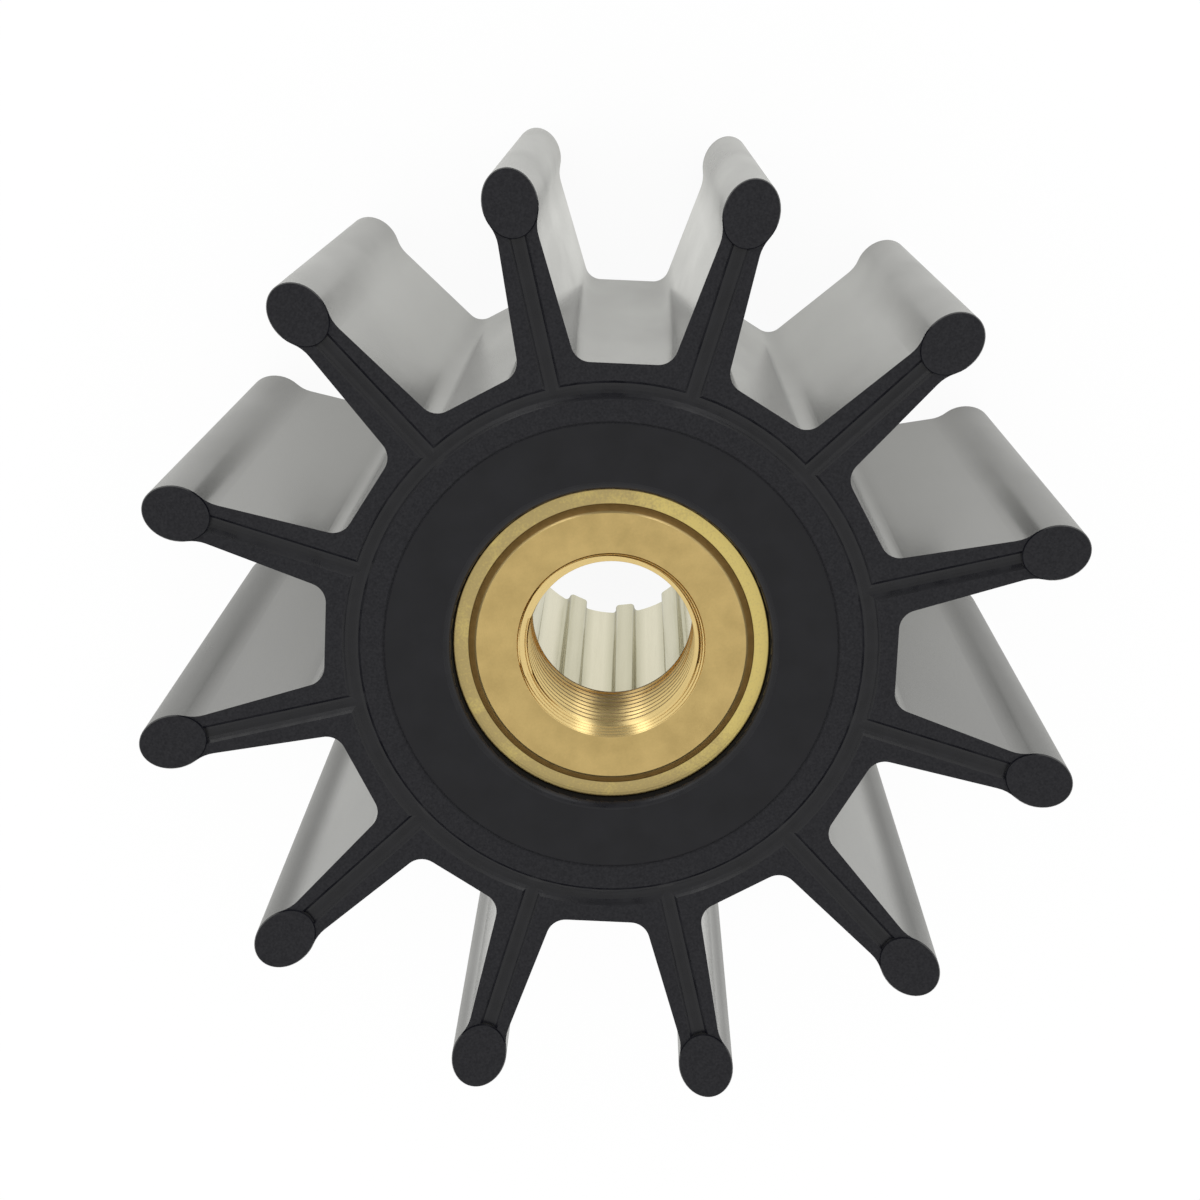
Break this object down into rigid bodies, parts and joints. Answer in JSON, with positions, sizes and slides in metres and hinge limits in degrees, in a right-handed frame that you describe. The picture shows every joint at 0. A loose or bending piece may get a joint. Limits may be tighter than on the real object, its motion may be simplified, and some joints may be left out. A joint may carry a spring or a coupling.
{
  "type": "pump impeller",
  "caption": "Flexible rubber marine pump impeller with beaded radial blades, bonded round a splined brass sleeve with a threaded puller bush.",
  "frame": {"origin": "on the shaft axis at the plane of the rear bead ends", "axes": "+Z along the shaft axis towards the front, threaded end; one blade points along +X"},
  "size_m": [0.095, 0.095, 0.081],
  "materials": {
    "black_rubber": "moulded satin flanks, ground matt end faces",
    "sleeve_brass": "turned, yellow",
    "bush_brass": "turned and brushed, slightly redder"
  },
  "bodies": {
    "root": {"rubber_impeller": "black_rubber", "splined_sleeve": "sleeve_brass", "puller_thread_bush": "bush_brass"}
  },
  "joints": []
}
